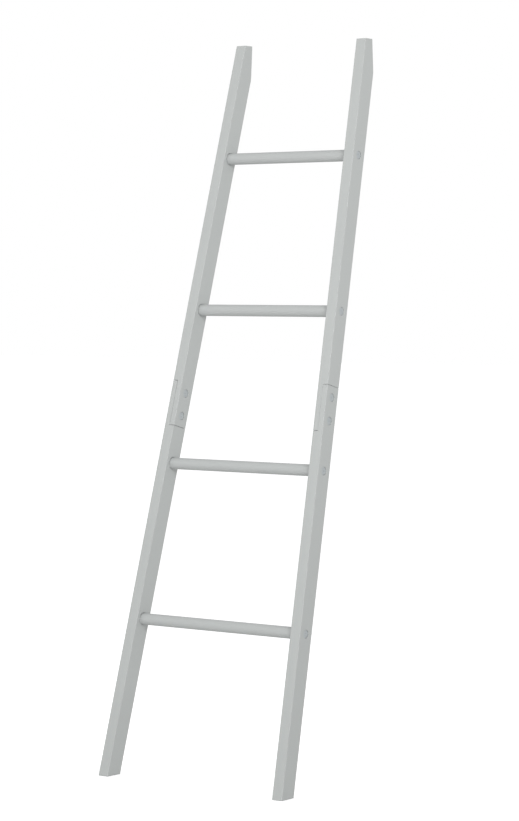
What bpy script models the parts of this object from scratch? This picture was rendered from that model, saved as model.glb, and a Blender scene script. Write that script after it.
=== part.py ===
"""A leaning blanket ladder: two bolted rails joined by four dowel rungs, as it stands against a wall.

Metres, +Z up. The origin is on the floor, under the middle of the ladder's bounding box. +X is to the right
of someone facing the ladder, and +Y points to the wall that its top rests on.

Three kinds of frame hold the pieces. The ladder frame leans with the ladder: X across, Z up the slope,
Y through it towards the wall. Each side frame is one rail's own: X out of the ladder, Z up the rail, from
the middle of its foot. A turned piece has its axis along X, with its head at +X.
"""

import math

import bmesh
import bpy
from mathutils import Vector

# The whole ladder.
HEIGHT = 1.582                # floor to the rails' tops
FOOT_WIDTH = 0.484            # outside the rails, on the floor
TOP_WIDTH = 0.346             # outside the rails, at their tops
LEAN = math.radians(13.9)     # of the ladder, from upright
WALL_FLAT_HEIGHT = 0.073      # the upright flat at each rail's top that lies on the wall

# Rails, each in a lower and an upper piece joined by a half-lap.
RAIL_WIDTH = 0.025            # across the ladder
RAIL_DEPTH = 0.042            # front to back
RAIL_EDGE = 0.0012            # chamfer along the four long edges
LAP_LENGTH = 0.100
LAP_RISE = 0.131              # middle of the half-lap above the rung below it, up the slope
LAP_RUNG = 2                  # number of that rung, counted from the floor
LAP_BOLT_PITCH = 0.050
LAP_BOLTS = 2

# Rungs, let into the rails' inner faces.
RUNGS = 4
FIRST_RUNG = 0.3405           # floor to the lowest rung's axis, up the slope
TOP_RUNG_DROP = 0.2602        # rails' tops to the highest rung's axis, down the slope
RUNG_DIAMETER = 0.025
RUNG_EDGE = 0.0008            # chamfer round each end
SOCKET_DEPTH = 0.010

# Fasteners: socket-head connector bolts, and the inserts and sleeve nuts that they screw into.
BOLT_DIAMETER = 0.006
HEAD_DIAMETER = 0.017
HEAD_THICKNESS = 0.0025
HEAD_EDGE = 0.0005            # chamfer round the head's face
HEAD_SINK = 0.0012            # head's face below the rail's face
HEX_WIDTH = 0.004             # across the flats of the key socket
HEX_DEPTH = 0.0014
BOLT_GRIP = 0.014             # length of rung bolt inside its insert
BOLT_TIP = 0.0008             # chamfer at a bolt's tip
INSERT_DIAMETER = 0.010
INSERT_LENGTH = 0.018
SLEEVE_DIAMETER = 0.009
SLEEVE_FLOOR = 0.0005         # metal between a sleeve's bore and its head

# Clearances.
FACE_GAP = 0.0003             # between faces that bear on each other
ROUND_GAP = 0.0003            # round a dowel, sleeve, insert or shank, on the radius
RECESS_GAP = 0.0006           # round a bolt's head, on the radius
SHOULDER_GAP = 0.0005         # the seam at each end of a half-lap
TIP_GAP = 0.0005              # between a bolt's tip and the end of a blind bore
OVERCUT = 0.004               # how far a cutter runs past the face that it opens

WOOD_SEGMENTS = 24            # sides of dowels, sockets and recesses
METAL_SEGMENTS = 18           # sides of fasteners; a multiple of six, for their key sockets
HEXAGON = 6
SHARP_ANGLE = math.radians(30)  # edges that turn by more than this are shaded sharp
WELD = 1e-6                   # distance within which a tube's two ends are one ring

# What follows from them.
SLOPE = HEIGHT / math.cos(LEAN)
SPLAY = math.atan((FOOT_WIDTH - TOP_WIDTH) / 2 / SLOPE)
HALF_WIDTH = RAIL_WIDTH / 2
FACE_OFFSET = HALF_WIDTH / math.cos(SPLAY)
FOOT_SPACING = FOOT_WIDTH / 2 - FACE_OFFSET
RUNG_PITCH = (SLOPE - TOP_RUNG_DROP - FIRST_RUNG) / (RUNGS - 1)
LAP_CENTRE = (FIRST_RUNG + (LAP_RUNG - 1) * RUNG_PITCH + LAP_RISE) / math.cos(SPLAY)
LAP_LOW = LAP_CENTRE - LAP_LENGTH / 2
LAP_HIGH = LAP_CENTRE + LAP_LENGTH / 2
RECESS_DEPTH = FACE_GAP + HEAD_THICKNESS + HEAD_SINK
RECESS_RADIUS = HEAD_DIAMETER / 2 + RECESS_GAP
SHANK_HOLE_RADIUS = BOLT_DIAMETER / 2 + ROUND_GAP
SLEEVE_HOLE_RADIUS = SLEEVE_DIAMETER / 2 + ROUND_GAP
LAP_SEAT = HALF_WIDTH - RECESS_DEPTH + FACE_GAP   # underside of a lap bolt's head, from the rail's middle

# The ladder stands with its front feet as far forward of the origin as its wall flats are behind it.
WALL_FLAT_SLOPE = (HEIGHT - WALL_FLAT_HEIGHT + RAIL_DEPTH / 2 * math.sin(LEAN)) / math.cos(LEAN)
WALL_FROM_FOOT = WALL_FLAT_SLOPE * math.sin(LEAN) + RAIL_DEPTH / 2 * math.cos(LEAN)
FRONT_FROM_FOOT = RAIL_DEPTH / 2 / math.cos(LEAN)
FOOT_Y = (FRONT_FROM_FOOT - WALL_FROM_FOOT) / 2
WALL_Y = FOOT_Y + WALL_FROM_FOOT


def rail_spacing(slope):
    """From the ladder's middle to a rail's, at a distance up the slope."""
    return FOOT_SPACING - slope * math.tan(SPLAY)


def dowel_reach(slope):
    """From the ladder's middle to the end of a dowel, down in its socket."""
    return rail_spacing(slope) - FACE_OFFSET + SOCKET_DEPTH - FACE_GAP


def clear_scene():
    for obj in list(bpy.data.objects):
        bpy.data.objects.remove(obj, do_unlink=True)


def material(name, colour, roughness, metallic=0.0):
    made = bpy.data.materials.new(name)
    made.use_nodes = True
    shader = made.node_tree.nodes["Principled BSDF"]
    shader.inputs["Base Color"].default_value = (*colour, 1.0)
    shader.inputs["Roughness"].default_value = roughness
    shader.inputs["Metallic"].default_value = metallic
    made.diffuse_color = (*colour, 1.0)
    return made


def frame(name, location, rotation, parent=None):
    """An empty that pieces are parented to."""
    empty = bpy.data.objects.new(name, None)
    bpy.context.scene.collection.objects.link(empty)
    empty.location = location
    empty.rotation_euler = rotation
    empty.parent = parent
    return empty


def world_matrix(obj):
    matrix = obj.matrix_basis
    while obj.parent:
        obj = obj.parent
        matrix = obj.matrix_basis @ matrix
    return matrix


def piece(name, bm, parent, finish, location=(0, 0, 0), turned_round=False):
    """One named object from a bmesh, turned half round about Z if its head points to the frame's -X."""
    bmesh.ops.recalc_face_normals(bm, faces=bm.faces)
    mesh = bpy.data.meshes.new(name)
    bm.to_mesh(mesh)
    bm.free()
    mesh.shade_smooth()
    mesh.set_sharp_from_angle(angle=SHARP_ANGLE)
    if finish:
        mesh.materials.append(finish)
    obj = bpy.data.objects.new(name, mesh)
    bpy.context.scene.collection.objects.link(obj)
    obj.parent = parent
    obj.location = location
    obj.rotation_euler = (0, 0, math.pi if turned_round else 0)
    return obj


def cutter(name, bm, parent, location=(0, 0, 0), turned_round=False):
    obj = piece(name, bm, parent, None, location, turned_round)
    obj.hide_render = True
    obj.display_type = "WIRE"
    return obj


def bore(rail, tools):
    """Cuts a rail with all of its cutters in one Boolean."""
    together = bpy.data.collections.new(f"{rail.name}_bores")
    bpy.context.scene.collection.children.link(together)
    for tool in tools:
        together.objects.link(tool)
    modifier = rail.modifiers.new("bores", "BOOLEAN")
    modifier.operation = "DIFFERENCE"
    modifier.solver = "EXACT"
    modifier.operand_type = "COLLECTION"
    modifier.collection = together


def place_ring(verts, x, radius, sides=0):
    """Moves a ring of vertices to x, round at a radius, or on a polygon whose flats are that far out."""
    for vert in verts:
        angle = math.atan2(vert.co.z, vert.co.y)
        reach = radius
        if sides:
            half_side = math.pi / sides
            reach /= math.cos(angle % (2 * half_side) - half_side)
        vert.co = (x, reach * math.cos(angle), reach * math.sin(angle))


def turned(stations, segments):
    """A solid of rings along X, made by extruding its end again and again.

    Each station is (x, radius), or (x, radius, sides) for a polygon. A profile that ends where it began
    makes a tube, with no ends.
    """
    bm = bmesh.new()
    ring = bmesh.ops.create_circle(bm, cap_ends=True, radius=1, segments=segments)["verts"]
    for vert in ring:
        vert.co = (0, vert.co.x, vert.co.y)
    first_end = bm.faces[:][0]
    place_ring(ring, *stations[0])
    end = first_end
    for station in stations[1:]:
        made = bmesh.ops.extrude_face_region(bm, geom=[end], use_keep_orig=end is first_end)["geom"]
        new_end = next(part for part in made if isinstance(part, bmesh.types.BMFace))
        if end is not first_end:
            bmesh.ops.delete(bm, geom=[end], context="FACES_ONLY")
        end = new_end
        place_ring(end.verts, *station)
    if stations[0] == stations[-1]:
        bmesh.ops.delete(bm, geom=[first_end, end], context="FACES_ONLY")
        bmesh.ops.remove_doubles(bm, verts=bm.verts, dist=WELD)
    return bm


def trim(bm, obj_frame, point, normal):
    """Cuts off what lies beyond a plane given in world space, and closes the cut."""
    to_local = world_matrix(obj_frame).inverted()
    bmesh.ops.bisect_plane(
        bm,
        geom=bm.verts[:] + bm.edges[:] + bm.faces[:],
        plane_co=to_local @ Vector(point),
        plane_no=to_local.to_3x3() @ Vector(normal),
        clear_outer=True,
    )
    bmesh.ops.holes_fill(bm, edges=[edge for edge in bm.edges if edge.is_boundary], sides=0)


def rail_blank(outline):
    """A rail's front outline, as (x, z) points, extruded to its depth, with the long edges chamfered."""
    bm = bmesh.new()
    front = bm.faces.new([bm.verts.new((x, -RAIL_DEPTH / 2, z)) for x, z in outline])
    made = bmesh.ops.extrude_face_region(bm, geom=[front])["geom"]
    back = [part for part in made if isinstance(part, bmesh.types.BMVert)]
    bmesh.ops.translate(bm, verts=back, vec=(0, RAIL_DEPTH, 0))
    bmesh.ops.recalc_face_normals(bm, faces=bm.faces)
    near = RAIL_EDGE / 10
    long_edges = [
        edge
        for edge in bm.edges
        if all(HALF_WIDTH - abs(vert.co.x) < near for vert in edge.verts)
        and abs(edge.verts[0].co.x - edge.verts[1].co.x) < near
        and abs(edge.verts[0].co.y - edge.verts[1].co.y) < near
    ]
    bmesh.ops.bevel(bm, geom=long_edges, offset=RAIL_EDGE, segments=1, profile=0.5, affect="EDGES")
    return bm


def lower_rail(name, side_frame, finish):
    """From the level foot cut to the half-lap, whose outer half it carries."""
    below_foot = -RAIL_DEPTH
    inside, outside = -HALF_WIDTH, HALF_WIDTH
    cheek = FACE_GAP / 2
    tip = LAP_HIGH - SHOULDER_GAP
    bm = rail_blank([(inside, below_foot), (outside, below_foot), (outside, tip),
                     (cheek, tip), (cheek, LAP_LOW), (inside, LAP_LOW)])
    trim(bm, side_frame, (0, 0, 0), (0, 0, -1))
    return piece(name, bm, side_frame, finish)


def upper_rail(name, side_frame, finish):
    """From the half-lap, whose inner half it carries, to the level top cut and the flat for the wall."""
    above_top = SLOPE / math.cos(SPLAY) + RAIL_DEPTH
    inside, outside = -HALF_WIDTH, HALF_WIDTH
    cheek = -FACE_GAP / 2
    tip = LAP_LOW + SHOULDER_GAP
    bm = rail_blank([(inside, tip), (cheek, tip), (cheek, LAP_HIGH),
                     (outside, LAP_HIGH), (outside, above_top), (inside, above_top)])
    trim(bm, side_frame, (0, 0, HEIGHT), (0, 0, 1))
    trim(bm, side_frame, (0, WALL_Y, 0), (0, 1, 0))
    return piece(name, bm, side_frame, finish)


def lap_hole():
    """A bore through both halves of a lap: a recess at each face, wide on the inside for the sleeve."""
    return turned([
        (-HALF_WIDTH - OVERCUT, RECESS_RADIUS), (RECESS_DEPTH - HALF_WIDTH, RECESS_RADIUS),
        (RECESS_DEPTH - HALF_WIDTH, SLEEVE_HOLE_RADIUS), (0, SLEEVE_HOLE_RADIUS),
        (0, SHANK_HOLE_RADIUS), (HALF_WIDTH - RECESS_DEPTH, SHANK_HOLE_RADIUS),
        (HALF_WIDTH - RECESS_DEPTH, RECESS_RADIUS), (HALF_WIDTH + OVERCUT, RECESS_RADIUS),
    ], WOOD_SEGMENTS)


def rung_hole():
    """A rail's bores at one rung, from inside out: the dowel's socket, the shank's hole, the recess."""
    socket_radius = RUNG_DIAMETER / 2 + ROUND_GAP
    socket_end = SOCKET_DEPTH - FACE_OFFSET
    recess_start = FACE_OFFSET - RECESS_DEPTH
    return turned([
        (-FACE_OFFSET - OVERCUT, socket_radius), (socket_end, socket_radius),
        (socket_end, SHANK_HOLE_RADIUS), (recess_start, SHANK_HOLE_RADIUS),
        (recess_start, RECESS_RADIUS), (FACE_OFFSET + OVERCUT, RECESS_RADIUS),
    ], WOOD_SEGMENTS)


def head_rings():
    """A flat round head above X = 0, from the floor of its key socket out to its underside."""
    radius = HEAD_DIAMETER / 2
    return [
        (HEAD_THICKNESS - HEX_DEPTH, HEX_WIDTH / 2, HEXAGON), (HEAD_THICKNESS, HEX_WIDTH / 2, HEXAGON),
        (HEAD_THICKNESS, radius - HEAD_EDGE), (HEAD_THICKNESS - HEAD_EDGE, radius), (0, radius),
    ]


def bolt(length):
    radius = BOLT_DIAMETER / 2
    return turned(head_rings() + [
        (0, radius), (BOLT_TIP - length, radius), (-length, radius - BOLT_TIP),
    ], METAL_SEGMENTS)


def sleeve_nut(length):
    return turned(head_rings() + [
        (0, SLEEVE_DIAMETER / 2), (-length, SLEEVE_DIAMETER / 2),
        (-length, SHANK_HOLE_RADIUS), (-SLEEVE_FLOOR, SHANK_HOLE_RADIUS),
    ], METAL_SEGMENTS)


def insert():
    """A tube from X = 0, its mouth, inwards."""
    inside, outside = SHANK_HOLE_RADIUS, INSERT_DIAMETER / 2
    return turned([
        (0, inside), (0, outside), (-INSERT_LENGTH, outside), (-INSERT_LENGTH, inside), (0, inside),
    ], METAL_SEGMENTS)


def rung(half_length):
    """A dowel with a blind hole in each end for its insert."""
    radius, hole = RUNG_DIAMETER / 2, INSERT_DIAMETER / 2 + ROUND_GAP
    hole_end = half_length - INSERT_LENGTH - 2 * FACE_GAP
    right_end = [(half_length - RUNG_EDGE, radius), (half_length, radius - RUNG_EDGE),
                 (half_length, hole), (hole_end, hole)]
    left_end = [(-x, r) for x, r in reversed(right_end)]
    return turned(left_end + right_end, WOOD_SEGMENTS)


def rung_joint(side_name, side, number, slope, ladder, finishes):
    """One end of a rung: the insert in the dowel, its bolt, and the cutter that bores the rail for them."""
    turned_round = side < 0
    middle = rail_spacing(slope)
    mouth = dowel_reach(slope) - FACE_GAP
    head_seat = middle + FACE_OFFSET - RECESS_DEPTH + FACE_GAP
    bolt_length = head_seat - mouth + BOLT_GRIP
    piece(f"{side_name}_rung_insert_{number}", insert(), ladder, finishes["insert"],
          (side * mouth, 0, slope), turned_round)
    piece(f"{side_name}_rung_bolt_{number}", bolt(bolt_length), ladder, finishes["bolt"],
          (side * head_seat, 0, slope), turned_round)
    return cutter(f"{side_name}_rung_hole_{number}", rung_hole(), ladder,
                  (side * middle, 0, slope), turned_round)


def lap_joint(side_name, number, height, side_frame, finishes):
    """One bolt through a half-lap, its sleeve nut, and the cutter that bores both halves."""
    sleeve_length = LAP_SEAT - FACE_GAP
    bolt_length = 2 * LAP_SEAT - SLEEVE_FLOOR - TIP_GAP
    piece(f"{side_name}_lap_bolt_{number}", bolt(bolt_length), side_frame, finishes["bolt"],
          (LAP_SEAT, 0, height))
    piece(f"{side_name}_lap_nut_{number}", sleeve_nut(sleeve_length), side_frame, finishes["nut"],
          (-LAP_SEAT, 0, height), turned_round=True)
    return cutter(f"{side_name}_lap_hole_{number}", lap_hole(), side_frame, (0, 0, height))


def rail_pair(side_name, side, ladder, slopes, finishes):
    """One side of the ladder: its two rail pieces, and the fasteners of its lap and its rungs' ends."""
    turn = math.pi if side < 0 else 0
    side_frame = frame(f"{side_name}_side", (side * FOOT_SPACING, 0, 0), (0, -SPLAY, turn), ladder)
    lower = lower_rail(f"{side_name}_lower_rail", side_frame, finishes["rail"])
    upper = upper_rail(f"{side_name}_upper_rail", side_frame, finishes["rail"])
    lower_tools, upper_tools = [], []
    for step in range(LAP_BOLTS):
        height = LAP_CENTRE + LAP_BOLT_PITCH * (step - (LAP_BOLTS - 1) / 2)
        hole = lap_joint(side_name, step + 1, height, side_frame, finishes)
        lower_tools.append(hole)
        upper_tools.append(hole)
    for step, slope in enumerate(slopes):
        hole = rung_joint(side_name, side, step + 1, slope, ladder, finishes)
        height = slope / math.cos(SPLAY)
        if height - RUNG_DIAMETER < LAP_HIGH:
            lower_tools.append(hole)
        if height + RUNG_DIAMETER > LAP_LOW:
            upper_tools.append(hole)
    bore(lower, lower_tools)
    bore(upper, upper_tools)


def main():
    clear_scene()
    finishes = {
        "rail": material("rail_paint", (0.455, 0.472, 0.466), 0.45),
        "rung": material("rung_paint", (0.455, 0.472, 0.466), 0.45),
        "bolt": material("bolt_coat", (0.460, 0.490, 0.500), 0.5),
        "nut": material("nut_coat", (0.460, 0.490, 0.500), 0.5),
        "insert": material("insert_zinc", (0.58, 0.57, 0.54), 0.45, 1.0),
    }
    ladder = frame("ladder", (0, FOOT_Y, 0), (-LEAN, 0, 0))
    slopes = [FIRST_RUNG + RUNG_PITCH * step for step in range(RUNGS)]
    for side_name, side in (("left", -1), ("right", 1)):
        rail_pair(side_name, side, ladder, slopes, finishes)
    for step, slope in enumerate(slopes):
        piece(f"rung_{step + 1}", rung(dowel_reach(slope)), ladder, finishes["rung"], (0, 0, slope))


main()
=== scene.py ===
"""The looks of a leaning quilt ladder: half-lapped painted rails, dowel rungs and sunk bolts.

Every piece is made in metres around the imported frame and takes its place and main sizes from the
frame's own nodes. What a user would change, such as the easing of the edges and the colours, is in
the property groups.
"""

import math

import bmesh
import bpy
from mathutils import Matrix, Vector


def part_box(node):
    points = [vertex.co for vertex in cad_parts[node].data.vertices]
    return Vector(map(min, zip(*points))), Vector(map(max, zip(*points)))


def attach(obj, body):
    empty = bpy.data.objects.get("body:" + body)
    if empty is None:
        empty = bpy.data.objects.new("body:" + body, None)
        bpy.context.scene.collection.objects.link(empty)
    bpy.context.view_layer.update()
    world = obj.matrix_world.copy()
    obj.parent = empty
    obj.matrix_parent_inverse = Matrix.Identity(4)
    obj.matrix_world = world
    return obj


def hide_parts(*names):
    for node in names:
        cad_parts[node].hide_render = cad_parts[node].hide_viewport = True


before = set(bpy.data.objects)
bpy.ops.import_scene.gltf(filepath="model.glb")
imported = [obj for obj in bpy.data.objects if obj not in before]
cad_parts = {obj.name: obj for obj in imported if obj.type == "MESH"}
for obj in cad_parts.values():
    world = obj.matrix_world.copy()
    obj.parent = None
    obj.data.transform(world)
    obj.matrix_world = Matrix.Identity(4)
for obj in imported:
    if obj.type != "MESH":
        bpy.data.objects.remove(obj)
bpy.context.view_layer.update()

bl_info = {
    "name": "Leaning Quilt Ladder",
    "version": (1, 0, 0),
    "blender": (4, 5, 0),
    "location": "3D View > Sidebar > Ladder",
    "description": "Builds the painted rails, rungs and bolts of a leaning quilt ladder",
    "category": "Object",
}

BODY = "root"
SIDES = {"left": -1, "right": 1}
X, Z = 0, 2

# Lengths are in metres.
HAIR = 0.0002       # within this distance, two places on the ladder are the same
WELD = 0.000002     # within this distance, two corners of a mesh are one
OVERCUT = 0.004     # how far a cutter runs past the face that it opens
FLAT_ANGLE = math.radians(1)    # faces that meet at less than this are one face
SHARP_ANGLE = math.radians(32)  # edges that turn by more than this look crisp
EASED_ANGLE = math.radians(20)  # edges of a rail that turn by less than this stay as they are
ALONG_RAIL = 0.9    # an edge is a long one if its direction has more than this of the rail's

ROUND_SIDES = 72    # of a dowel, a socket and a recess
METAL_SIDES = 48    # of a bolt and a nut
KEY_SIDES = 6
EDGE_SEGMENTS = 3   # in a rounded edge of a rail
KINK_SEGMENTS = 5   # in the easing where the wall flat begins
CORNER_STEPS = 4    # in a turned corner
LARGE_FACES_RULE = 100          # the large faces decide the shading at an edge

KEY_FLOOR = 0.6     # the floor of a key socket, as a share of its width
NUT_FLOOR = 6       # the bore's radius over the thickness of a sleeve nut's floor
BLUNT_TIP = 2       # length of a bolt's blunt tip, in thread depths
PLAIN_NECK = 2      # least plain shank under a bolt's head, in thread pitches
THREAD_CREST = 1 / 8            # length of a thread's crest, in pitches
THREAD_ROOT = (1 / 2, 5 / 8)    # where a thread's root begins and ends, in pitches

# The finishes' patterns. Scales are in features to the metre.
NOISE_RANGE = (0.3, 0.7)        # nearly all of a noise's values lie in here
GRAIN_STRETCH = (1.0, 1.0, 0.035)
GRAIN_SCALE, PORE_SCALE, CLOUD_SCALE, SPRAY_SCALE = 620.0, 1900.0, 7.0, 950.0
GRAIN_ROUGHNESS = 0.62
CLOUD_SHARE = 0.35              # how far the clouding thins the paint
PAINT_ROUGHNESS = (0.42, 0.48)
SPRAY_ROUGHNESS = (-0.02, 0.03)
PORE_DEPTH = -0.12
SPANGLE_SCALE, TONE_SCALE, MARK_SCALE = 1400.0, 260.0, 2600.0
SPANGLE_LEVEL = (0.97, 1.05)
TONE_LEVEL = (0.90, 1.06)
MARK_ROUGHNESS = (-0.06, 0.08)
COAT_ROUGHNESS, ZINC_ROUGHNESS = 0.5, 0.46
PAINT_RELIEF = (0.22, 0.0002)   # strength, and height in metres
METAL_RELIEF = (0.12, 0.0001)

FLOOR_SIZE = 60
FLOOR_DROP = 0.0002             # keeps the floor clear of the feet
FLOOR_ROUGHNESS = 0.9
SENSOR_WIDTH = 36               # in millimetres
WHITE = (1, 1, 1, 1)

# The area lights: where each hangs, what it looks at, its width and height, and its spread.
SOFTBOXES = {
    "key_light": ((-1.7, -3.4, 2.6), (0, 0, 0.8), (2.0, 2.0), 180),
    "side_light": ((4.3, -2.4, 2.5), (0, 0, 1.5), (1.6, 1.6), 52),
    "low_fill": ((1.6, -3.2, 0.35), (0, 0, 0.8), (2.4, 0.6), 180),
}


# What the frame says.

RUNGS = sorted(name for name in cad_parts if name.startswith("rung_"))


def middle(node):
    low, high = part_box(node)
    return (low + high) / 2


def spots(node, into=Matrix.Identity(4)):
    """A node's corners, as seen from another frame."""
    return [into @ vert.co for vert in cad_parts[node].data.vertices]


def spread(values):
    """The lowest of some values, and how far the highest is above it."""
    return min(values), max(values) - min(values)


FIRST, LAST = middle(RUNGS[0]), middle(RUNGS[-1])
LEAN = math.atan2(LAST.y - FIRST.y, LAST.z - FIRST.z)
FOOT_Y = FIRST.y - FIRST.z * math.tan(LEAN)
LADDER = Matrix.Translation((0, FOOT_Y, 0)) @ Matrix.Rotation(-LEAN, 4, "X")
SLOPES = {rung: middle(rung).z / math.cos(LEAN) for rung in RUNGS}
REACHES = {rung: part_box(rung)[1].x for rung in RUNGS}
SPLAY = math.atan((REACHES[RUNGS[0]] - REACHES[RUNGS[-1]]) / (SLOPES[RUNGS[-1]] - SLOPES[RUNGS[0]]))
RUNG_SPOTS = spots(RUNGS[0], LADDER.inverted())
RUNG_RADIUS = max(math.hypot(spot.y, spot.z - SLOPES[RUNGS[0]]) for spot in RUNG_SPOTS)
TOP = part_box("right_upper_rail")[1].z
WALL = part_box("right_upper_rail")[1].y

RAIL_SPOTS = spots("right_lower_rail", LADDER.inverted())
ACROSS = Vector((math.cos(SPLAY), 0, math.sin(SPLAY)))
INNER_REACH, RAIL_WIDTH = spread([spot.dot(ACROSS) for spot in RAIL_SPOTS])
RAIL_DEPTH = spread([spot.y for spot in RAIL_SPOTS])[1]
FOOT_SPACING = (INNER_REACH + RAIL_WIDTH / 2) / math.cos(SPLAY)
FACE_OFFSET = RAIL_WIDTH / 2 / math.cos(SPLAY)


def facing(side):
    """Turns +X towards a side of the ladder."""
    return Matrix.Rotation(math.pi, 4, "Z") if side < 0 else Matrix.Identity(4)


def side_frame(side):
    """A rail's own frame: X out of the ladder, Z up the rail from the middle of its foot."""
    foot = Matrix.Translation((side * FOOT_SPACING, 0, 0))
    return LADDER @ foot @ facing(side) @ Matrix.Rotation(-SPLAY, 4, "Y")


def rail_spacing(slope):
    return FOOT_SPACING - slope * math.tan(SPLAY)


# The half-lap, as seen from the right rail's frame.
RAIL = side_frame(1).inverted()
LOWER_SPOTS = spots("right_lower_rail", RAIL)
UPPER_SPOTS = spots("right_upper_rail", RAIL)
LAP_LOW = max(spot.z for spot in LOWER_SPOTS if spot.x < -HAIR)
LAP_HIGH = min(spot.z for spot in UPPER_SPOTS if spot.x > HAIR)
LOWER_TIP = max(spot.z for spot in LOWER_SPOTS)
UPPER_TIP = min(spot.z for spot in UPPER_SPOTS)
LOWER_CHEEK = min(spot.x for spot in LOWER_SPOTS if spot.z > LAP_LOW + HAIR)
UPPER_CHEEK = max(spot.x for spot in UPPER_SPOTS if spot.z < LAP_HIGH - HAIR)


class Fastener:
    """A round-headed fastener's sizes, its head towards the +X of the frame it is seen from."""

    def __init__(self, node, into):
        seen = spots(node, into)
        self.height = (max(spot.z for spot in seen) + min(spot.z for spot in seen)) / 2
        ends = [spot.x for spot in seen]
        inner_side = abs(min(ends)) > abs(max(ends))
        self.way = -1 if inner_side else 1
        radii = [(self.way * spot.x, math.hypot(spot.y, spot.z - self.height)) for spot in seen]
        self.face = max(x for x, radius in radii)
        self.tip = min(x for x, radius in radii)
        self.head_radius = max(radius for x, radius in radii)
        self.seat = min(x for x, radius in radii if radius > self.head_radius - HAIR)
        self.body_radius = max(radius for x, radius in radii if x < self.seat - HAIR)


RUNG_BOLT = Fastener("right_rung_bolt_1", LADDER.inverted())
LAP_BOLT = Fastener("right_lap_bolt_1", RAIL)
LAP_NUT = Fastener("right_lap_nut_1", RAIL)
LAP_HEIGHTS = [Fastener(f"right_lap_bolt_{number}", RAIL).height for number in (1, 2)]


# Sizes and colours that a user would change.

def length(name, description, millimetres):
    return bpy.props.FloatProperty(
        name=name, description=description, default=millimetres / 1000, min=0, precision=5,
        subtype="DISTANCE", unit="LENGTH")


def share(name, description, default):
    return bpy.props.FloatProperty(
        name=name, description=description, default=default, min=0, max=1, subtype="FACTOR")


def colour(name, description, default):
    return bpy.props.FloatVectorProperty(
        name=name, description=description, default=default, size=3, min=0, max=1, subtype="COLOR")


def power(name, description, watts):
    return bpy.props.FloatProperty(
        name=name, description=description, default=watts, min=0, subtype="POWER", unit="POWER")


class LadderSizes(bpy.types.PropertyGroup):
    edge_round: length("Edge round", "Rounding of the rails' long edges", 1.2)
    end_round: length("End round", "Easing round the feet and the tops", 0.8)
    shoulder_round: length("Shoulder round", "Easing at the seams of the half-laps", 0.35)
    cheek_round: length("Cheek round", "Easing along the cheeks of the half-laps", 0.12)
    left_kink: length("Left kink", "Easing where the left wall flat begins", 6.0)
    right_kink: length("Right kink", "Easing where the right wall flat begins", 1.0)
    rim: length("Rim", "Chamfer at the mouths of sockets and recesses", 0.4)
    round_gap: length("Round gap", "Room round a dowel, a sleeve or a shank", 0.3)
    recess_gap: length("Recess gap", "Room round a bolt's head", 0.3)
    socket_gap: length("Socket gap", "Room round a dowel where it enters its socket", 0.6)
    left_seam: length("Left seam", "Opening of the left half-lap's seams, beyond the fit", 0.30)
    right_seam: length("Right seam", "Opening of the right shoulder seams, beyond the fit", 0.20)
    seat_gap: length("Seat gap", "Room under a bolt's head and at a dowel's end", 0.3)
    rung_end: length("Rung end", "Rounding at the ends of the dowels", 0.8)
    head_round: length("Head round", "Rounding of the bolts' heads", 0.5)
    key_width: length("Key width", "Across the flats of the key socket", 3.0)
    key_depth: length("Key depth", "Depth of the key socket", 0.8)
    thread_pitch: length("Thread pitch", "From one thread to the next", 1.0)
    thread_depth: length("Thread depth", "From a thread's crest to its root", 0.35)
    thread_length: length("Thread length", "Threaded part of a bolt, from its tip", 12.0)
    insert_length: length("Insert length", "Depth of the blind hole in a dowel's end", 18.6)
    insert_hole: length("Insert hole", "Diameter of the blind hole in a dowel's end", 10.6)


class LadderColours(bpy.types.PropertyGroup):
    paint: colour("Paint", "Satin paint on the rails and rungs", (0.455, 0.472, 0.466))
    paint_shade: colour("Paint shade", "The paint where it lies thin", (0.435, 0.452, 0.446))
    coat: colour("Coat", "Matt pale coat on bolts and nuts", (0.46, 0.49, 0.50))
    dull_zinc: colour("Dull zinc", "Plating on the inserts", (0.50, 0.50, 0.48))
    grain: share("Grain", "How far the wood's grain shows through the paint", 0.35)
    floor: colour("Floor", "The studio's floor", (0.90, 0.90, 0.90))
    bounce: colour("Floor bounce", "What the floor throws back on the ladder", (0.78, 0.78, 0.775))


class StudioSettings(bpy.types.PropertyGroup):
    distance: length("Distance", "From the aim to the camera", 5522.8)
    azimuth: bpy.props.FloatProperty(
        name="Azimuth", description="Camera round the ladder, from straight in front",
        default=math.radians(36.278), subtype="ANGLE", unit="ROTATION")
    elevation: bpy.props.FloatProperty(
        name="Elevation", description="Camera above the horizon of its aim",
        default=math.radians(2.33), subtype="ANGLE", unit="ROTATION")
    roll: bpy.props.FloatProperty(
        name="Roll", description="Camera turned about its own view",
        default=math.radians(0.265), subtype="ANGLE", unit="ROTATION")
    aim_across: length("Aim across", "The aim, to the right of the ladder's middle", 165.1)
    aim_height: length("Aim height", "The aim, above the floor", 801.8)
    lens: bpy.props.FloatProperty(
        name="Lens", description=f"Focal length on a {SENSOR_WIDTH} mm sensor", default=118.28,
        min=1, subtype="DISTANCE_CAMERA", unit="CAMERA")
    shift_right: bpy.props.FloatProperty(
        name="Shift right", description="Lens shift", default=0.0003)
    shift_up: bpy.props.FloatProperty(name="Shift up", description="Lens shift", default=-0.0048)
    key_power: power("Key", "Softbox in front, high on the left", 26.2)
    side_power: power("Side", "Gridded softbox far off in front, on the right", 10.1)
    low_power: power("Low fill", "Strip light low in front, on the right", 21.8)
    ambient: bpy.props.FloatProperty(
        name="Ambient", description="Even light from all round", default=0.713, min=0)
    floor_glow: bpy.props.FloatProperty(
        name="Floor glow", description="Lifts the far floor to the white of the background",
        default=0.45, min=0)


# Modelling, as by hand.

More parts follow.
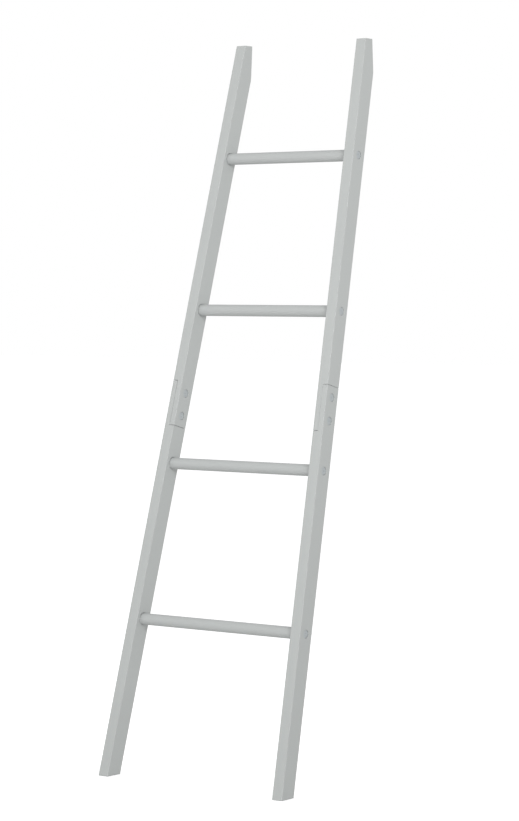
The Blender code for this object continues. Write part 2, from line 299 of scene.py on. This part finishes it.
def start_clean():
    """Leaves edit mode and deselects everything."""
    if bpy.context.object and bpy.context.object.mode != "OBJECT":
        bpy.ops.object.mode_set(mode="OBJECT")
    bpy.ops.object.select_all(action="DESELECT")


def pick(obj):
    start_clean()
    obj.select_set(True)
    bpy.context.view_layer.objects.active = obj
    return obj


def select_edit(kind, wanted):
    """In edit mode, selects the faces or edges for which wanted(part) holds, and nothing else."""
    bpy.ops.mesh.select_mode(type="FACE" if kind == "faces" else "EDGE")
    bpy.ops.mesh.select_all(action="DESELECT")
    mesh = bpy.context.object.data
    bm = bmesh.from_edit_mesh(mesh)
    chosen = [part for part in getattr(bm, kind) if wanted(part)]
    for part in chosen:
        part.select_set(True)
    bm.select_flush_mode()
    bmesh.update_edit_mesh(mesh)
    if not chosen:
        raise RuntimeError(f"{bpy.context.object.name}: no {kind} where they were expected")


def turned(name, stations, sides):
    """A solid of rings along Z, from (z, radius) stations: a disc, extruded and resized in turn."""
    start_clean()
    height, radius = stations[0]
    bpy.ops.mesh.primitive_circle_add(
        vertices=sides, radius=radius, fill_type="NGON", location=(0, 0, height))
    obj = bpy.context.object
    obj.name = name
    bpy.ops.object.transform_apply()
    bpy.ops.object.mode_set(mode="EDIT")
    bpy.ops.mesh.select_all(action="SELECT")
    for next_height, next_radius in stations[1:]:
        rise = next_height - height
        bpy.ops.mesh.extrude_region_move(TRANSFORM_OT_translate={"value": (0, 0, rise)})
        grow = next_radius / radius
        bpy.ops.transform.resize(value=(grow, grow, 1), center_override=(0, 0, next_height))
        height, radius = next_height, next_radius
    bpy.ops.mesh.select_all(action="SELECT")
    bpy.ops.mesh.normals_make_consistent(inside=False)
    bpy.ops.object.mode_set(mode="OBJECT")
    return obj


def rounded_corner(height, radius, size):
    """Stations round an outer corner, from the flat end at a height down to the side below it."""
    turns = [math.pi / 2 * (1 - step / CORNER_STEPS) for step in range(CORNER_STEPS + 1)]
    return [
        (height - size + size * math.sin(turn), radius - size + size * math.cos(turn))
        for turn in turns
    ]


def cut(obj, tools):
    """Cuts an object with the tools, joined into one, and removes them."""
    start_clean()
    for tool in tools:
        tool.select_set(True)
    bpy.context.view_layer.objects.active = tools[0]
    bpy.ops.object.join()
    together = bpy.context.object
    pick(obj)
    bpy.ops.object.modifier_add(type="BOOLEAN")
    modifier = obj.modifiers[-1]
    modifier.operation = "DIFFERENCE"
    modifier.solver = "EXACT"
    modifier.object = together
    bpy.ops.object.modifier_apply(modifier=modifier.name)
    bpy.data.objects.remove(together, do_unlink=True)
    tidy_cut()


def tidy_cut():
    """Splits many-sided faces before doubled corners are merged, so that no face is lost."""
    bpy.ops.object.mode_set(mode="EDIT")
    bpy.ops.mesh.select_mode(type="VERT")
    bpy.ops.mesh.select_all(action="SELECT")
    bpy.ops.mesh.quads_convert_to_tris(quad_method="BEAUTY", ngon_method="BEAUTY")
    bpy.ops.mesh.select_all(action="SELECT")
    bpy.ops.mesh.remove_doubles(threshold=WELD)
    bpy.ops.mesh.select_all(action="SELECT")
    bpy.ops.mesh.dissolve_degenerate(threshold=WELD)
    bpy.ops.object.mode_set(mode="OBJECT")


def place(obj, matrix):
    """Stands a tool or a piece in a frame, and puts that place into its mesh."""
    pick(obj)
    obj.matrix_world = matrix
    bpy.ops.object.transform_apply()
    return obj


def outwards(x, height):
    """The frame of something turned whose axis lies along +X, with its zero at x and a height."""
    return Matrix.Translation((x, 0, height)) @ Matrix.Rotation(math.pi / 2, 4, "Y")


def inwards(x, height):
    return Matrix.Translation((x, 0, height)) @ Matrix.Rotation(-math.pi / 2, 4, "Y")


def copy_of(obj, name):
    made = obj.copy()
    made.data = obj.data.copy()
    made.name = name
    bpy.context.scene.collection.objects.link(made)
    return made


def finish_piece(obj, name, material, slot, *nodes):
    """Smooth faces, crisp edges, a closed skin, a material, a body and the nodes it stands for."""
    pick(obj)
    obj.name = name
    obj.data.name = name
    bpy.ops.object.mode_set(mode="EDIT")
    bpy.ops.mesh.select_all(action="SELECT")
    bpy.ops.mesh.normals_make_consistent(inside=False)
    bpy.ops.object.mode_set(mode="OBJECT")
    check = bmesh.new()
    check.from_mesh(obj.data)
    open_edges = sum(not edge.is_manifold for edge in check.edges)
    check.free()
    if open_edges:
        raise RuntimeError(f"{name} isn't closed: {open_edges} open edges")
    bpy.ops.object.shade_smooth_by_angle(angle=SHARP_ANGLE)
    bpy.ops.object.modifier_add(type="WEIGHTED_NORMAL")
    obj.modifiers[-1].keep_sharp = True
    obj.modifiers[-1].weight = LARGE_FACES_RULE
    bpy.ops.object.modifier_apply(modifier=obj.modifiers[-1].name)
    obj.data.materials.clear()
    obj.data.materials.append(bpy.data.materials[material])
    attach(obj, BODY)
    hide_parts(*nodes)
    return obj


# Rails.

def lapped_bar(name, start, shoulder, tip, cheek, keep):
    """A bar from start to its shoulder, with half its width carried on to the tip of the lap."""
    start_clean()
    bpy.ops.mesh.primitive_cube_add(
        size=1, location=(0, 0, (start + shoulder) / 2),
        scale=(RAIL_WIDTH, RAIL_DEPTH, abs(start - shoulder)))
    bar = bpy.context.object
    bar.name = name
    bpy.ops.object.transform_apply()
    bpy.ops.object.mode_set(mode="EDIT")
    bpy.ops.mesh.select_all(action="SELECT")
    bpy.ops.mesh.bisect(plane_co=(cheek, 0, 0), plane_no=(1, 0, 0))
    select_edit("faces", lambda face: all(abs(vert.co.z - shoulder) < HAIR for vert in face.verts)
                and keep * (face.calc_center_median().x - cheek) > 0)
    bpy.ops.mesh.extrude_region_move(TRANSFORM_OT_translate={"value": (0, 0, tip - shoulder)})
    return bar


def trim(placed, point, normal):
    """In edit mode, cuts off what lies beyond a plane given in the world, and closes the cut."""
    back = placed.inverted()
    bpy.ops.mesh.select_all(action="SELECT")
    bpy.ops.mesh.bisect(
        plane_co=back @ Vector(point), plane_no=back.to_3x3() @ Vector(normal),
        use_fill=True, clear_outer=True)


def merge_flat_faces():
    bpy.ops.mesh.select_all(action="SELECT")
    bpy.ops.mesh.dissolve_limited(angle_limit=FLAT_ANGLE)


def ease_kink(placed, size):
    """Rounds the edge where the back of the rail turns upright for the wall."""
    def on_kink(edge):
        upright = [abs((placed @ vert.co).y - WALL) < HAIR for vert in edge.verts]
        below_top = all(TOP - (placed @ vert.co).z > RAIL_DEPTH / 2 for vert in edge.verts)
        return all(upright) and below_top

    select_edit("edges", on_kink)
    bpy.ops.mesh.bevel(offset=size, segments=KINK_SEGMENTS, affect="EDGES")


def lies_at(edge, axis, value):
    """Whether both ends of an edge have a value along an axis."""
    return all(abs(vert.co[axis] - value) < HAIR for vert in edge.verts)


def ease_edges(bar, sizes, shoulder, tip, cheek):
    """Rounds each edge by what it is: long edge, cut end, lap shoulder or lap cheek."""
    half_width = RAIL_WIDTH / 2
    bpy.ops.object.mode_set(mode="OBJECT")
    mesh = bar.data
    mesh.attributes.new("bevel_weight_edge", "FLOAT", "EDGE")
    bm = bmesh.new()
    bm.from_mesh(mesh)
    layer = bm.edges.layers.float["bevel_weight_edge"]
    for edge in bm.edges:
        if edge.calc_face_angle() < EASED_ANGLE or not edge.is_convex:
            continue
        if lies_at(edge, Z, shoulder) or lies_at(edge, Z, tip):
            size = sizes.shoulder_round
        elif lies_at(edge, X, cheek):
            size = sizes.cheek_round
        elif lies_at(edge, X, half_width) or lies_at(edge, X, -half_width):
            start, end = (vert.co for vert in edge.verts)
            along = abs((end - start).normalized().z)
            size = sizes.edge_round if along > ALONG_RAIL else sizes.end_round
        else:
            size = sizes.end_round
        edge[layer] = size / sizes.edge_round
    bm.to_mesh(mesh)
    bm.free()
    pick(bar)
    bpy.ops.object.modifier_add(type="BEVEL")
    bevel = bar.modifiers[-1]
    bevel.width = sizes.edge_round
    bevel.segments = EDGE_SEGMENTS
    bevel.limit_method = "WEIGHT"
    bevel.use_clamp_overlap = False
    bpy.ops.object.modifier_apply(modifier=bevel.name)


def mouth(face, radius, rim):
    """Stations of a cutter where it leaves a face: a rim chamfer, and on past the face."""
    return [(face - rim, radius), (face, radius + rim), (face + OVERCUT, radius + rim + OVERCUT)]


def rung_bores(name, side, sizes, reach_test):
    """Cutters for one rail's sockets, shank holes and recesses, placed in the ladder's world."""
    tools = []
    for rung in RUNGS:
        slope = SLOPES[rung]
        if not reach_test(slope / math.cos(SPLAY)):
            continue
        number = rung.removeprefix("rung_")
        bolt = Fastener(f"right_rung_bolt_{number}", LADDER.inverted())
        spacing = rail_spacing(slope)
        inner_face, outer_face = spacing - FACE_OFFSET, spacing + FACE_OFFSET
        socket_floor = REACHES[rung] + sizes.seat_gap
        recess_floor = bolt.seat - sizes.seat_gap
        socket_radius = RUNG_RADIUS + sizes.socket_gap
        shank_radius = bolt.body_radius + sizes.round_gap
        recess_radius = bolt.head_radius + sizes.recess_gap
        rim = sizes.rim
        stations = [
            (inner_face - OVERCUT, socket_radius + rim + OVERCUT),
            (inner_face, socket_radius + rim), (inner_face + rim, socket_radius),
            (socket_floor, socket_radius), (socket_floor, shank_radius),
            (recess_floor, shank_radius), (recess_floor, recess_radius),
        ] + mouth(outer_face, recess_radius, rim)
        tool = turned(f"{name}_bore_{number}", stations, ROUND_SIDES)
        tools.append(place(tool, LADDER @ facing(side) @ outwards(0, slope)))
    return tools


def lap_bores(name, side, sizes):
    """Cutters for a half-lap's bolts: a recess at each face, wide inside for the nut's sleeve."""
    tools = []
    half_width = RAIL_WIDTH / 2
    sleeve_radius = LAP_NUT.body_radius + sizes.round_gap
    shank_radius = LAP_BOLT.body_radius + sizes.round_gap
    recess_radius = LAP_BOLT.head_radius + sizes.recess_gap
    floor_out = LAP_BOLT.seat - sizes.seat_gap
    floor_in = LAP_NUT.seat - sizes.seat_gap
    outer_mouth = mouth(half_width, recess_radius, sizes.rim)
    inner_mouth = [(-x, radius) for x, radius in reversed(outer_mouth)]
    for number, height in enumerate(LAP_HEIGHTS, start=1):
        stations = inner_mouth + [
            (-floor_in, recess_radius), (-floor_in, sleeve_radius), (0, sleeve_radius),
            (0, shank_radius), (floor_out, shank_radius), (floor_out, recess_radius),
        ] + outer_mouth
        tool = turned(f"{name}_lap_bore_{number}", stations, ROUND_SIDES)
        tools.append(place(tool, side_frame(side) @ outwards(0, height)))
    return tools


def seam(side, sizes):
    return sizes.left_seam if side < 0 else sizes.right_seam


def cheek_seam(side, sizes):
    """The left half-lap stands a little open along its cheek too, shared by its two halves."""
    return sizes.left_seam / 2 if side < 0 else 0.0


def lower_rail(side_name, side, sizes):
    name = f"{side_name}_lower_rail_painted"
    placed = side_frame(side)
    tip, cheek = LOWER_TIP - seam(side, sizes), LOWER_CHEEK + cheek_seam(side, sizes)
    bar = lapped_bar(name, -RAIL_DEPTH, LAP_LOW, tip, cheek, 1)
    trim(placed, (0, 0, 0), (0, 0, -1))
    merge_flat_faces()
    ease_edges(bar, sizes, LAP_LOW, tip, cheek)
    place(bar, placed)
    tools = rung_bores(name, side, sizes, lambda height: height < LAP_LOW)
    cut(bar, tools + lap_bores(name, side, sizes))
    finish_piece(bar, name, f"{side_name}_rail_paint", "rail_paint", f"{side_name}_lower_rail")


def upper_rail(side_name, side, sizes):
    name = f"{side_name}_upper_rail_painted"
    placed = side_frame(side)
    above_top = TOP / math.cos(LEAN) + RAIL_DEPTH
    tip, cheek = UPPER_TIP + seam(side, sizes), UPPER_CHEEK - cheek_seam(side, sizes)
    bar = lapped_bar(name, above_top, LAP_HIGH, tip, cheek, -1)
    trim(placed, (0, 0, TOP), (0, 0, 1))
    trim(placed, (0, WALL, 0), (0, 1, 0))
    merge_flat_faces()
    ease_kink(placed, sizes.left_kink if side < 0 else sizes.right_kink)
    ease_edges(bar, sizes, LAP_HIGH, tip, cheek)
    place(bar, placed)
    tools = rung_bores(name, side, sizes, lambda height: height > LAP_HIGH)
    cut(bar, tools + lap_bores(name, side, sizes))
    finish_piece(bar, name, f"{side_name}_rail_paint", "rail_paint", f"{side_name}_upper_rail")


# Rungs.

def dowel(name, reach, sizes):
    """A dowel along Z with rounded ends and a blind hole in each for its insert."""
    hole = sizes.insert_hole / 2
    upper_end = rounded_corner(reach, RUNG_RADIUS, sizes.rung_end)[::-1]
    upper_end += [(reach, hole), (reach - sizes.insert_length, hole)]
    lower_end = [(-height, radius) for height, radius in reversed(upper_end)]
    return turned(name, lower_end + upper_end, ROUND_SIDES)


# Fasteners.

def head(fastener, sizes):
    """Stations of a flat round head with a rounded face, from its face to its underside."""
    thickness = fastener.face - fastener.seat
    underside = sizes.head_round / 4
    return (
        [(thickness, sizes.key_width / 2)]
        + rounded_corner(thickness, fastener.head_radius, sizes.head_round)
        + [(underside, fastener.head_radius), (0, fastener.head_radius - underside)]
    )


def threads(from_height, to_height, radius, sizes):
    """Stations of the ridges of a thread, going down."""
    pitch = sizes.thread_pitch
    root = radius - sizes.thread_depth
    root_start, root_end = THREAD_ROOT
    stations = []
    for turn in range(int((from_height - to_height) / pitch)):
        crest = from_height - turn * pitch
        stations += [(crest, radius), (crest - pitch * THREAD_CREST, radius),
                     (crest - pitch * root_start, root), (crest - pitch * root_end, root)]
    return stations


def key_socket(name, fastener, sizes):
    """A six-sided tool for the key socket, with a lead-in at its mouth."""
    thickness = fastener.face - fastener.seat
    corner = sizes.key_width / 2 / math.cos(math.pi / KEY_SIDES)
    lead = sizes.rim / 2
    floor = thickness - sizes.key_depth
    return turned(name, [
        (floor, corner * KEY_FLOOR), (floor + lead, corner), (thickness - lead, corner),
        (thickness, corner + lead), (thickness + OVERCUT, corner + lead + OVERCUT),
    ], KEY_SIDES)


def connector_bolt(name, fastener, sizes):
    """A socket-head bolt with its underside at Z = 0 and its shank going down."""
    radius = fastener.body_radius
    shank_length = fastener.seat - fastener.tip
    tip = sizes.thread_depth * BLUNT_TIP
    threaded = min(sizes.thread_length, shank_length - sizes.thread_pitch * PLAIN_NECK)
    thread_start = threaded - shank_length
    stations = head(fastener, sizes) + [(0, radius)]
    stations += threads(thread_start, tip - shank_length, radius, sizes)
    stations += [(tip - shank_length, radius), (-shank_length, radius - tip)]
    bolt = turned(name, stations, METAL_SIDES)
    cut(bolt, [key_socket(f"{name}_key", fastener, sizes)])
    return bolt


def sleeve_nut(name, fastener, sizes):
    """A sleeve nut with its underside at Z = 0 and its sleeve, open at the end, going down."""
    length_down = fastener.seat - fastener.tip
    radius = fastener.body_radius
    bore = LAP_BOLT.body_radius + sizes.round_gap
    floor = bore / NUT_FLOOR
    ease = sizes.rim / 2
    stations = head(fastener, sizes) + [
        (0, radius), (ease - length_down, radius), (-length_down, radius - ease),
        (-length_down, bore + ease), (ease - length_down, bore), (-floor, bore),
    ]
    nut = turned(name, stations, METAL_SIDES)
    cut(nut, [key_socket(f"{name}_key", fastener, sizes)])
    return nut


# Finishes.

def new_group(name, takes, gives):
    """A shader node group with (name, kind) sockets, its input node and its output node."""
    group = bpy.data.node_groups.new(name, "ShaderNodeTree")
    for label, kind in takes:
        group.interface.new_socket(label, in_out="INPUT", socket_type=f"NodeSocket{kind}")
    for label, kind in gives:
        group.interface.new_socket(label, in_out="OUTPUT", socket_type=f"NodeSocket{kind}")
    return group, group.nodes.new("NodeGroupInput"), group.nodes.new("NodeGroupOutput")


def add_node(tree, kind, settings=None, **values):
    """A node with its settings and the values of its inputs. A value that is a socket is linked."""
    made = tree.nodes.new(kind)
    for name, value in (settings or {}).items():
        setattr(made, name, value)
    for name, value in values.items():
        key = name.replace("_", " ").title() if not name.startswith("in_") else int(name[3:])
        if isinstance(value, bpy.types.NodeSocket):
            tree.links.new(value, made.inputs[key])
        else:
            made.inputs[key].default_value = value
    return made


def remap(tree, value, wanted, found=NOISE_RANGE):
    """A value that is found in one range, brought to the wanted one."""
    mapped = add_node(tree, "ShaderNodeMapRange", value=value)
    for key, number in zip(("From Min", "From Max", "To Min", "To Max"), (*found, *wanted)):
        mapped.inputs[key].default_value = number
    return mapped.outputs["Result"]


def noise(tree, where, scale, detail, roughness=0.5):
    made = add_node(tree, "ShaderNodeTexNoise", vector=where, scale=scale, detail=detail,
                    roughness=roughness)
    return made.outputs["Fac"]


def maths(tree, operation, *values, clamp=False):
    """The result of a Math node on up to three values."""
    inputs = {f"in_{number}": value for number, value in enumerate(values)}
    made = add_node(tree, "ShaderNodeMath", {"operation": operation, "use_clamp": clamp}, **inputs)
    return made.outputs["Value"]


def paint_group():
    """Satin paint over planed wood: faint grain along Z, sprayed texture and slow clouding."""
    group, given, out = new_group(
        "paint_over_wood",
        [("Place", "Vector"), ("Paint", "Color"), ("Shade", "Color"), ("Grain", "Float")],
        [("Colour", "Color"), ("Roughness", "Float"), ("Height", "Float")])
    where, grain_share = given.outputs["Place"], given.outputs["Grain"]
    stretched = add_node(group, "ShaderNodeVectorMath", {"operation": "MULTIPLY"},
                         in_0=where, in_1=GRAIN_STRETCH).outputs["Vector"]
    grain = noise(group, stretched, GRAIN_SCALE, 4.0, GRAIN_ROUGHNESS)
    pores = noise(group, stretched, PORE_SCALE, 2.0)
    clouds = noise(group, where, CLOUD_SCALE, 3.0)
    spray = noise(group, where, SPRAY_SCALE, 2.0)
    grain_mask = maths(group, "MULTIPLY", remap(group, grain, (0.0, 1.0)), grain_share)
    cloud_mask = remap(group, clouds, (0.0, CLOUD_SHARE))
    thin = maths(group, "ADD", grain_mask, cloud_mask, clamp=True)
    mixed = add_node(group, "ShaderNodeMix", {"data_type": "RGBA"}, in_0=thin,
                     in_6=given.outputs["Paint"], in_7=given.outputs["Shade"])
    rough = maths(group, "ADD", remap(group, clouds, PAINT_ROUGHNESS),
                  remap(group, spray, SPRAY_ROUGHNESS))
    ridges = maths(group, "MULTIPLY_ADD", grain, grain_share, spray)
    relief = maths(group, "MULTIPLY_ADD", pores, PORE_DEPTH, ridges)
    group.links.new(mixed.outputs[2], out.inputs["Colour"])
    group.links.new(rough, out.inputs["Roughness"])
    group.links.new(relief, out.inputs["Height"])
    return group


def plating_group():
    """A plate or coat on metal: small spangles, fine handling marks and a slow change of tone."""
    group, given, out = new_group(
        "zinc_plate",
        [("Place", "Vector"), ("Plate", "Color"), ("Roughness", "Float")],
        [("Colour", "Color"), ("Roughness", "Float"), ("Height", "Float")])
    where = given.outputs["Place"]
    cells = add_node(group, "ShaderNodeTexVoronoi", vector=where, scale=SPANGLE_SCALE)
    spangle = remap(group, cells.outputs["Distance"], SPANGLE_LEVEL, (0.0, 1.0))
    tone = remap(group, noise(group, where, TONE_SCALE, 3.0), TONE_LEVEL)
    tinted = add_node(group, "ShaderNodeVectorMath", {"operation": "SCALE"},
                      in_0=given.outputs["Plate"])
    group.links.new(maths(group, "MULTIPLY", tone, spangle), tinted.inputs["Scale"])
    marks = noise(group, where, MARK_SCALE, 3.0, 0.6)
    rough = maths(group, "ADD", given.outputs["Roughness"], remap(group, marks, MARK_ROUGHNESS))
    group.links.new(tinted.outputs["Vector"], out.inputs["Colour"])
    group.links.new(rough, out.inputs["Roughness"])
    group.links.new(marks, out.inputs["Height"])
    return group


def finish(name, group, matrix, group_values, relief, metallic=0.0):
    """A material whose pattern lies in a frame of its own, fed by a node group."""
    made = bpy.data.materials.new(name)
    made.use_nodes = True
    tree = made.node_tree
    shader = tree.nodes["Principled BSDF"]
    shader.inputs["Metallic"].default_value = metallic
    where = tree.nodes.new("ShaderNodeTexCoord").outputs["Object"]
    mapping = add_node(tree, "ShaderNodeMapping", {"vector_type": "TEXTURE"}, vector=where)
    mapping.inputs["Location"].default_value = matrix.to_translation()
    mapping.inputs["Rotation"].default_value = matrix.to_euler()
    pattern = tree.nodes.new("ShaderNodeGroup")
    pattern.node_tree = group
    tree.links.new(mapping.outputs["Vector"], pattern.inputs["Place"])
    for label, value in group_values.items():
        pattern.inputs[label].default_value = value
    tree.links.new(pattern.outputs["Colour"], shader.inputs["Base Color"])
    tree.links.new(pattern.outputs["Roughness"], shader.inputs["Roughness"])
    strength, distance = relief
    bump = add_node(tree, "ShaderNodeBump", strength=strength, distance=distance,
                    height=pattern.outputs["Height"])
    tree.links.new(bump.outputs["Normal"], shader.inputs["Normal"])
    made.diffuse_color = next(iter(group_values.values()))


# Operators.

class LADDER_OT_finishes(bpy.types.Operator):
    """Makes the paint, the pale coat and the zinc plate"""
    bl_idname = "ladder.finishes"
    bl_label = "Finishes"

    def execute(self, context):
        colours = context.scene.ladder_colours
        paint, plating = paint_group(), plating_group()
        coats = {"Paint": (*colours.paint, 1), "Shade": (*colours.paint_shade, 1),
                 "Grain": colours.grain}
        along_rungs = LADDER @ Matrix.Rotation(math.pi / 2, 4, "Y")
        for name, placed in (("left_rail_paint", side_frame(-1)),
                             ("right_rail_paint", side_frame(1)),
                             ("rung_paint", along_rungs)):
            finish(name, paint, placed, coats, PAINT_RELIEF)
        coat = {"Plate": (*colours.coat, 1), "Roughness": COAT_ROUGHNESS}
        dull = {"Plate": (*colours.dull_zinc, 1), "Roughness": ZINC_ROUGHNESS}
        for name, plate, metallic in (("bolt_coat", coat, 0.0), ("nut_coat", coat, 0.0),
                                      ("insert_zinc", dull, 1.0)):
            finish(name, plating, LADDER, plate, METAL_RELIEF, metallic)
        return {"FINISHED"}


class LADDER_OT_rails(bpy.types.Operator):
    """Builds the two lower and the two upper rails"""
    bl_idname = "ladder.rails"
    bl_label = "Rails"

    def execute(self, context):
        sizes = context.scene.ladder_sizes
        for side_name, side in SIDES.items():
            lower_rail(side_name, side, sizes)
            upper_rail(side_name, side, sizes)
        return {"FINISHED"}


class LADDER_OT_rungs(bpy.types.Operator):
    """Builds the dowel rungs"""
    bl_idname = "ladder.rungs"
    bl_label = "Rungs"

    def execute(self, context):
        sizes = context.scene.ladder_sizes
        for rung in RUNGS:
            made = dowel(f"{rung}_painted", REACHES[rung], sizes)
            place(made, LADDER @ outwards(0, SLOPES[rung]))
            finish_piece(made, f"{rung}_painted", "rung_paint", "rung_paint", rung)
        return {"FINISHED"}


class LADDER_OT_rung_bolts(bpy.types.Operator):
    """Builds the bolts that hold the rungs' ends"""
    bl_idname = "ladder.rung_bolts"
    bl_label = "Rung Bolts"

    def execute(self, context):
        sizes = context.scene.ladder_sizes
        master = connector_bolt("rung_bolt_master", RUNG_BOLT, sizes)
        for rung in RUNGS:
            number = rung.removeprefix("rung_")
            seat = Fastener(f"right_rung_bolt_{number}", LADDER.inverted()).seat
            for side_name, side in SIDES.items():
                node = f"{side_name}_rung_bolt_{number}"
                point = outwards if side > 0 else inwards
                made = copy_of(master, f"{node}_plated")
                place(made, LADDER @ point(side * seat, SLOPES[rung]))
                finish_piece(made, f"{node}_plated", "bolt_coat", "bolt_coat", node)
        bpy.data.objects.remove(master, do_unlink=True)
        return {"FINISHED"}


class LADDER_OT_lap_fasteners(bpy.types.Operator):
    """Builds the bolts and the sleeve nuts of the half-laps"""
    bl_idname = "ladder.lap_fasteners"
    bl_label = "Lap Bolts and Nuts"

    def execute(self, context):
        sizes = context.scene.ladder_sizes
        bolt = connector_bolt("lap_bolt_master", LAP_BOLT, sizes)
        nut = sleeve_nut("lap_nut_master", LAP_NUT, sizes)
        for side_name, side in SIDES.items():
            placed = side_frame(side)
            for number, height in enumerate(LAP_HEIGHTS, start=1):
                for master, kind, spot in ((bolt, "bolt", outwards(LAP_BOLT.seat, height)),
                                           (nut, "nut", inwards(-LAP_NUT.seat, height))):
                    node = f"{side_name}_lap_{kind}_{number}"
                    made = place(copy_of(master, f"{node}_plated"), placed @ spot)
                    finish_piece(made, f"{node}_plated", f"{kind}_coat", f"{kind}_coat", node)
        for master in (bolt, nut):
            bpy.data.objects.remove(master, do_unlink=True)
        return {"FINISHED"}


class LADDER_OT_inserts(bpy.types.Operator):
    """Gives the inserts inside the rungs their plating"""
    bl_idname = "ladder.inserts"
    bl_label = "Inserts"

    def execute(self, context):
        for name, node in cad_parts.items():
            if "insert" in name:
                node.data.materials.clear()
                node.data.materials.append(bpy.data.materials["insert_zinc"])
        return {"FINISHED"}


def softbox(name, watts):
    """An area light that looks at a point."""
    spot, aim, size, opening = SOFTBOXES[name]
    start_clean()
    bpy.ops.object.light_add(type="AREA", location=spot)
    light = bpy.context.object
    light.name = name
    light.data.shape = "RECTANGLE"
    light.data.size, light.data.size_y = size
    light.data.energy = watts
    light.data.spread = math.radians(opening)
    light.visible_camera = False
    light.rotation_euler = (Vector(spot) - Vector(aim)).to_track_quat("Z", "Y").to_euler()


class LADDER_OT_stage(bpy.types.Operator):
    """Lays the floor and sets up the lights and the camera"""
    bl_idname = "ladder.stage"
    bl_label = "Studio"

    def execute(self, context):
        studio = context.scene.ladder_studio
        self.floor(context)
        softbox("key_light", studio.key_power)
        softbox("side_light", studio.side_power)
        softbox("low_fill", studio.low_power)
        self.sky(context)
        self.camera(context)
        context.scene.view_settings.view_transform = "Standard"
        context.scene.view_settings.look = "None"
        return {"FINISHED"}

    def floor(self, context):
        start_clean()
        bpy.ops.mesh.primitive_grid_add(x_subdivisions=2, y_subdivisions=2, size=FLOOR_SIZE)
        floor = context.object
        floor.name = "studio_floor"
        floor.location.z = -FLOOR_DROP
        made = bpy.data.materials.new("studio_floor")
        made.use_nodes = True
        tree = made.node_tree
        colours = context.scene.ladder_colours
        seen = tree.nodes["Principled BSDF"]
        seen.inputs["Base Color"].default_value = (*colours.floor, 1)
        seen.inputs["Roughness"].default_value = FLOOR_ROUGHNESS
        seen.inputs["Emission Color"].default_value = WHITE
        seen.inputs["Emission Strength"].default_value = context.scene.ladder_studio.floor_glow
        bounce = add_node(tree, "ShaderNodeBsdfDiffuse", color=(*colours.bounce, 1))
        looked_at = tree.nodes.new("ShaderNodeLightPath").outputs["Is Camera Ray"]
        mixed = add_node(tree, "ShaderNodeMixShader", in_0=looked_at, in_1=bounce.outputs[0],
                         in_2=seen.outputs[0])
        tree.links.new(mixed.outputs[0], tree.nodes["Material Output"].inputs["Surface"])
        floor.data.materials.append(made)

    def sky(self, context):
        """White where the camera looks past the floor, and an even light for everything else."""
        world = bpy.data.worlds.new("studio")
        context.scene.world = world
        world.use_nodes = True
        tree = world.node_tree
        studio = context.scene.ladder_studio
        light = tree.nodes["Background"]
        light.inputs["Color"].default_value = WHITE
        light.inputs["Strength"].default_value = studio.ambient
        white = add_node(tree, "ShaderNodeBackground", color=WHITE, strength=1.0)
        seen = tree.nodes.new("ShaderNodeLightPath").outputs["Is Camera Ray"]
        mixed = add_node(tree, "ShaderNodeMixShader", in_0=seen, in_1=light.outputs[0],
                         in_2=white.outputs[0])
        tree.links.new(mixed.outputs[0], tree.nodes["World Output"].inputs["Surface"])

    def camera(self, context):
        studio = context.scene.ladder_studio
        level = math.cos(studio.elevation)
        back = Vector((math.sin(studio.azimuth) * level, -math.cos(studio.azimuth) * level,
                       math.sin(studio.elevation)))
        aim = Vector((studio.aim_across, FOOT_Y, studio.aim_height))
        start_clean()
        bpy.ops.object.camera_add(location=aim + back * studio.distance)
        camera = context.object
        camera.name = "studio_camera"
        turn = back.to_track_quat("Z", "Y").to_matrix() @ Matrix.Rotation(studio.roll, 3, "Z")
        camera.rotation_euler = turn.to_euler()
        camera.data.lens = studio.lens
        camera.data.sensor_width = SENSOR_WIDTH
        camera.data.shift_x = studio.shift_right
        camera.data.shift_y = studio.shift_up
        context.scene.camera = camera


class LADDER_PT_panel(bpy.types.Panel):
    """The ladder's pieces, sizes and colours in the sidebar"""
    bl_idname = "LADDER_PT_panel"
    bl_label = "Leaning Quilt Ladder"
    bl_space_type = "VIEW_3D"
    bl_region_type = "UI"
    bl_category = "Ladder"

    def draw(self, context):
        for operator in OPERATORS:
            self.layout.operator(operator.bl_idname)
        for group in (context.scene.ladder_sizes, context.scene.ladder_colours,
                      context.scene.ladder_studio):
            box = self.layout.box()
            for name in group.__annotations__:
                box.prop(group, name)


OPERATORS = (
    LADDER_OT_finishes, LADDER_OT_rails, LADDER_OT_rungs, LADDER_OT_rung_bolts,
    LADDER_OT_lap_fasteners, LADDER_OT_inserts, LADDER_OT_stage,
)
CLASSES = (LadderSizes, LadderColours, StudioSettings) + OPERATORS + (LADDER_PT_panel,)


def register():
    for each in CLASSES:
        bpy.utils.register_class(each)
    bpy.types.Scene.ladder_sizes = bpy.props.PointerProperty(type=LadderSizes)
    bpy.types.Scene.ladder_colours = bpy.props.PointerProperty(type=LadderColours)
    bpy.types.Scene.ladder_studio = bpy.props.PointerProperty(type=StudioSettings)


def unregister():
    del bpy.types.Scene.ladder_studio
    del bpy.types.Scene.ladder_colours
    del bpy.types.Scene.ladder_sizes
    for each in reversed(CLASSES):
        bpy.utils.unregister_class(each)


def main():
    register()
    bpy.ops.ladder.finishes()
    bpy.ops.ladder.rails()
    bpy.ops.ladder.rungs()
    bpy.ops.ladder.rung_bolts()
    bpy.ops.ladder.lap_fasteners()
    bpy.ops.ladder.inserts()
    bpy.ops.ladder.stage()


if __name__ == "__main__":
    main()
